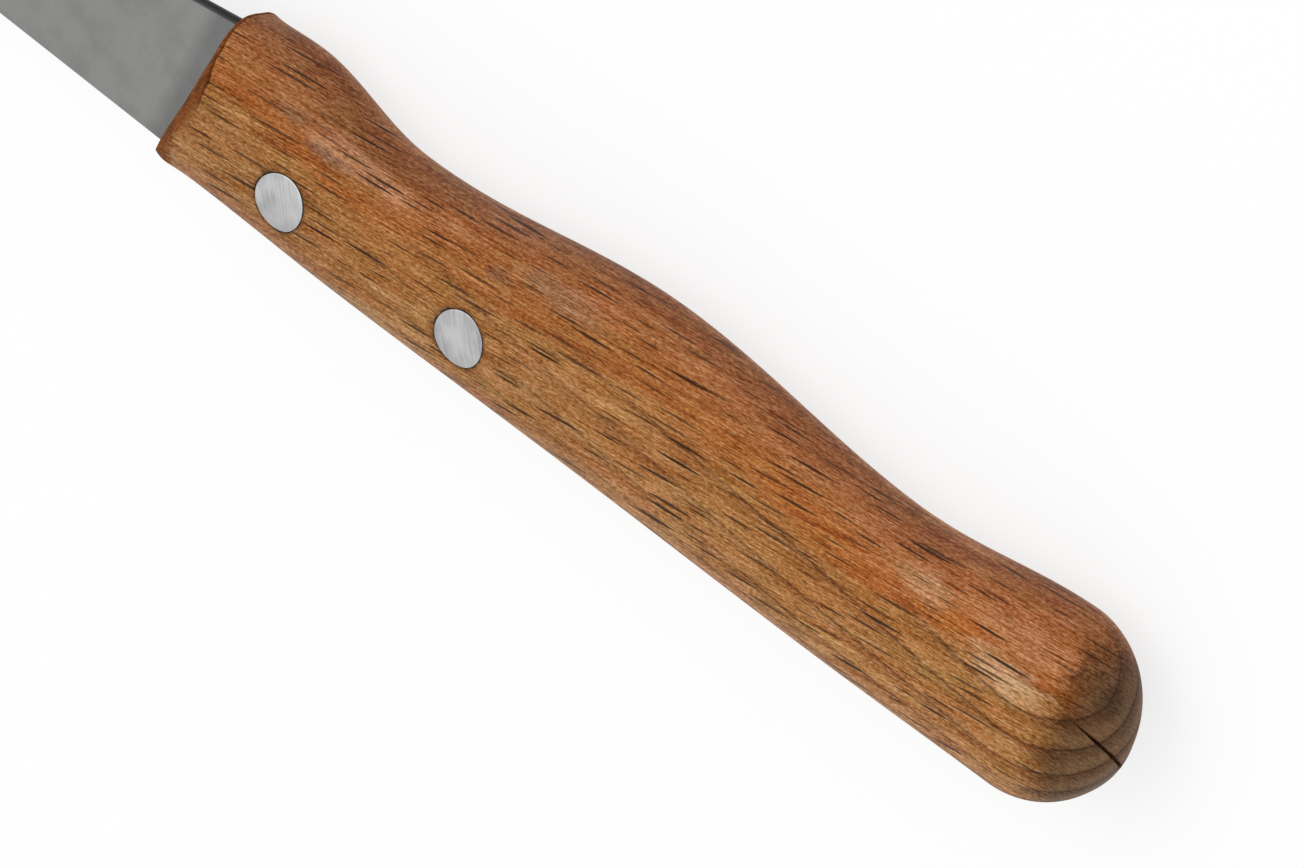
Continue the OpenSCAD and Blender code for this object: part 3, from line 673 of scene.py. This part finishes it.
# blade: sections from the edge line to the spine line, z = (edge / 2 + slope times height), eased at edge and spine
def makeBlade(material):
    sizes = bladeSizes
    rise = np.radians(sizes["edgeRise"])
    heelEdge = np.array([leanShift(0, -sizes["heelDrop"]) - sizes["heelGap"], -sizes["heelDrop"]])
    heelSpine = np.array([leanShift(0, sizes["spineHeight"]) - sizes["heelGap"], sizes["spineHeight"]])
    tip = heelEdge + sizes["length"] * np.array([-np.cos(rise), np.sin(rise)])
    square = np.array([np.sin(rise), np.cos(rise)])
    slope = (sizes["thickness"] - sizes["edge"]) / 2 / np.dot(heelSpine - heelEdge, square)
    q = (1 - np.linspace(0, 1, sizes["stations"])[:0:-1] ** sizes["crowd"])[:, None]
    low = heelEdge + (tip - heelEdge) * q
    high = heelSpine + (tip - heelSpine) * q + np.array([0, 1]) * sizes["spineBow"] * 4 * q * (1 - q)
    tall = np.linalg.norm(high - low, axis=1)[:, None]
    up = (high - low) / tall
    edgeRound = np.minimum(sizes["edgeRound"], sizes["edgeMost"] * tall)
    spineRound = np.minimum(sizes["spineRound"], sizes["spineMost"] * tall)
    edgeTurn, spineTurn = (np.radians(np.linspace(0, 90, sizes[key])) for key in ("edgeSteps", "spineSteps"))
    flat = np.linspace(0, 1, sizes["faceColumns"] + 2)[1:-1]
    v = np.concatenate([edgeRound * (1 - np.cos(edgeTurn)), edgeRound + (tall - edgeRound - spineRound) * flat,
                        tall - spineRound * (1 - np.sin(spineTurn))], axis=1)
    ease = np.concatenate([np.sin(edgeTurn), np.ones(len(flat)), np.cos(spineTurn)])
    height = ((low - heelEdge) @ square)[:, None] + v * (up @ square)[:, None]
    z = (sizes["edge"] / 2 + slope * height) * ease
    near = np.stack([low[:, :1] + up[:, :1] * v, low[:, 1:] + up[:, 1:] * v, z], -1)
    ring = np.concatenate([near, near[:, -2:0:-1] * [1, 1, -1]], axis=1)
    # dark round the back: unground steel, and a painted dark reflection growing as the rounding turns up
    spine = np.concatenate([np.zeros(len(edgeTurn) + len(flat)), np.sin(spineTurn) ** sizes["spineDark"]])
    spine = np.concatenate([spine, spine[-2:0:-1]])

    # tang behind the heel: the same ring squared off, painted dark as the shade of its slot
    f = np.linspace(0, 1, near.shape[1])
    tangY = rivetSizes["height"] + sizes["tangHeight"] * (f - 0.5)
    tangZ = sizes["thickness"] / 2 * np.clip(np.minimum(f, 1 - f) / sizes["tangBevel"], 0, 1)
    plate = np.concatenate([np.stack([tangY, tangZ], -1), np.stack([tangY, -tangZ], -1)[-2:0:-1]])
    start = leanShift(0, plate[:, 0]) - sizes["heelGap"]
    tang = np.stack([np.column_stack([start, plate * [1, sizes["neckShare"]]]),
                     np.column_stack([start + sizes["neckLength"], plate]),
                     np.column_stack([np.full(len(plate), sizes["tangEnd"]), plate])])
    grid = np.concatenate([ring[::-1], tang])
    mesh = ringMesh("bladeSkin", grid, [*tip, 0], [sizes["tangEnd"], rivetSizes["height"], 0])
    # dark back, and painted shade of the slot over the whole tang
    dark = np.concatenate([np.tile(spine, len(ring)), np.ones(len(tang) * len(plate)), [0.0, 1.0]])
    addValues(mesh, "darkBackAndSlotShade", dark)
    newPiece("steelBlade", mesh, "blade", material)


# satin-ground steel: mid grey with fine grinding lines across the blade and soft cloudy stains, painted shadow and
# reflection of the handle towards it, a dark unground back with a painted dark reflection down its rounding, and
# the tang painted dark as the shade of its slot
groundSteel = {
    "face": "#9b9b99", "line": "#979795", "lineRange": (0.35, 0.65),
    "lineSize": (0.12, 14.0, 14.0), "lineDetail": 3.0,            # mm, drawn coarser than the grit, to show
    "stain": "#8a8b87", "cloud": 3.0, "cloudDetail": 4.0, "cloudRough": 0.6, "cloudRange": (0.45, 0.7, 0.0, 0.7),
    # painted shadow and reflection of the handle on the blade next to it
    "paintedHandleShade": "#6c6d6e", "paintedHandleShadeRange": (1.8, 3.3, 0.5, 0.0),       # mm in front of the handle, and shares there
    # dark of the unground back and its painted dark reflection, also painted on the tang as the shade of its slot
    "back": "#1f1f20",
    "roughness": (0.3, 0.7, 0.36, 0.44), "bump": 0.1, "bumpDepth": 0.00001,   # range and values, strength, metres
}


def makeSteel():
    material, add = newMaterial("satinGroundSteel")
    look = groundSteel
    place = add("TexCoord").outputs["Object"]
    inMm = add("Mapping", place, None, None, toMm)
    line = add("VectorMath", inMm, look["lineSize"], operation="DIVIDE")
    line = add("TexNoise", line, 1.0, look["lineDetail"])
    cloud = add("TexNoise", inMm, 1 / look["cloud"], look["cloudDetail"], look["cloudRough"])
    colour = add("Mix", add("MapRange", line, *look["lineRange"]), look["line"], look["face"], data_type="RGBA")
    colour = add("Mix", add("MapRange", cloud, *look["cloudRange"]), colour, look["stain"], data_type="RGBA")
    # painted shadow and reflection of the handle, fading out in front of it
    plain = add("VectorMath", place, toMm, tuple(-shift), operation="MULTIPLY_ADD")
    apart = add("VectorMath", plain, (-1, leanRatio, 0), operation="DOT_PRODUCT").outputs["Value"]
    apart = add("Math", apart, leanRatio * leanCentre, operation="SUBTRACT")
    colour = add("Mix", add("MapRange", apart, *look["paintedHandleShadeRange"]), colour, look["paintedHandleShade"], data_type="RGBA")
    # dark back with its painted dark reflection, and the tang painted dark as the shade of its slot
    back = add("Attribute", attribute_name="darkBackAndSlotShade").outputs["Fac"]
    colour = add("Mix", back, colour, look["back"], data_type="RGBA")
    rough = add("MapRange", line, *look["roughness"])
    bump = add("Bump", look["bump"], look["bumpDepth"], sockets={"Height": line})
    shader = add("BsdfPrincipled", sockets={"Base Color": colour, "Metallic": 1.0, "Roughness": rough, "Normal": bump})
    add("OutputMaterial", shader)
    return material


# from the handle's zero to the frame's: butt, heel of the edge and far side lie on the CAD box
shift = np.array([cadBox[1][0] / mm - handleSizes["length"],
                  cadBox[0][1] / mm + bladeSizes["heelDrop"],
                  cadBox[0][2] / mm + halfThick])
aluminium = makeAluminium()
makeHandle(makeBeech())
makeBlade(makeSteel())
makeRivet("frontRivet", "front_rivet", rivetSizes["at"][0], aluminium)
makeRivet("rearRivet", "rear_rivet", rivetSizes["at"][1], aluminium)

# white paper floor that keeps a faint soft shadow; seen directly or in the metal it has light of its own
stage = {"floor": 1.1, "paper": "#e6e6e6", "shade": "#808080", "glow": 0.78}
floorHalf = stage["floor"] / 2
corners = [(x * floorHalf, y * floorHalf, 0) for x, y in ((-1, -1), (1, -1), (1, 1), (-1, 1))]
floorMesh = bpy.data.meshes.new("floorSheet")
floorMesh.from_pydata(corners, [], [(0, 1, 2, 3)])
floor = bpy.data.objects.new("floor", floorMesh)
bpy.context.collection.objects.link(floor)
paper, add = newMaterial("whitePaper")
rayKind = add("LightPath").outputs
seen = add("Math", rayKind["Is Camera Ray"], rayKind["Is Glossy Ray"], operation="ADD", use_clamp=True)
bright = add("AddShader", add("BsdfDiffuse", stage["shade"]), add("Emission", (1, 1, 1, 1), stage["glow"]))
add("OutputMaterial", add("MixShader", seen, add("BsdfDiffuse", stage["paper"]), bright))
floorMesh.materials.append(paper)

# light: an even white room, seen full white, and a large soft box from the front left
light = {"room": 0.8, "boxAt": (-0.3, 0.35, 0.9), "boxSize": 0.9, "boxWatts": 3.0}   # metres
world = bpy.data.worlds.new("whiteRoom")
bpy.context.scene.world = world
world.use_nodes = True
world.node_tree.nodes.clear()
add = partial(addNode, world.node_tree)
cameraRay = add("LightPath").outputs["Is Camera Ray"]
strength = add("Math", cameraRay, 1 - light["room"], light["room"], operation="MULTIPLY_ADD")
add("OutputWorld", add("Background", (1, 1, 1, 1), strength))
lamp = bpy.data.lights.new("keyBox", "AREA")
lamp.shape, lamp.size, lamp.energy = "DISK", light["boxSize"], light["boxWatts"]
keyBox = bpy.data.objects.new("keyBox", lamp)
keyBox.location = light["boxAt"]
keyBox.rotation_euler = Vector(light["boxAt"]).to_track_quat("Z", "Y").to_euler()   # faces the knife
bpy.context.collection.objects.link(keyBox)
print("stage and light set")

# camera: from above the contoured back and a little from the butt, long lens, turned in the picture; degrees and mm
view = {"tilt": 36.157, "swing": -24.355, "roll": 37.159, "distance": 2400.0, "pixelsPerMm": 12.468,
        "aim": (50.0, 8.0, 0.0), "slide": (-0.924, -1.585), "imageWidth": 1304, "sensor": 36.0, "clip": (0.1, 20.0)}
tilt, swing, roll = np.radians([view["tilt"], view["swing"], view["roll"]])
axisWay = np.array([np.cos(swing), np.sin(swing) * np.sin(tilt), np.sin(swing) * np.cos(tilt)])
backWay = np.array([0, np.cos(tilt), -np.sin(tilt)])
toCamera = np.array([-np.sin(swing), np.cos(swing) * np.sin(tilt), np.cos(swing) * np.cos(tilt)])
right = np.cos(roll) * axisWay + np.sin(roll) * backWay
upward = -np.sin(roll) * axisWay + np.cos(roll) * backWay
aim = np.array(view["aim"]) + view["slide"][0] * right + view["slide"][1] * upward
spot = (aim + view["distance"] * toCamera + shift) * mm
lens = bpy.data.cameras.new("longLens")
lens.sensor_width = view["sensor"]
lens.lens = lens.sensor_width * view["distance"] / (view["imageWidth"] / view["pixelsPerMm"])
lens.clip_start, lens.clip_end = view["clip"]    # metres
camera = bpy.data.objects.new("camera", lens)
matrix = np.eye(4)
matrix[:3] = np.column_stack([right, upward, toCamera, spot])
camera.matrix_world = Matrix(matrix.tolist())
bpy.context.collection.objects.link(camera)
bpy.context.scene.camera = camera
bpy.context.scene.view_settings.view_transform = "Standard"
print("camera set")
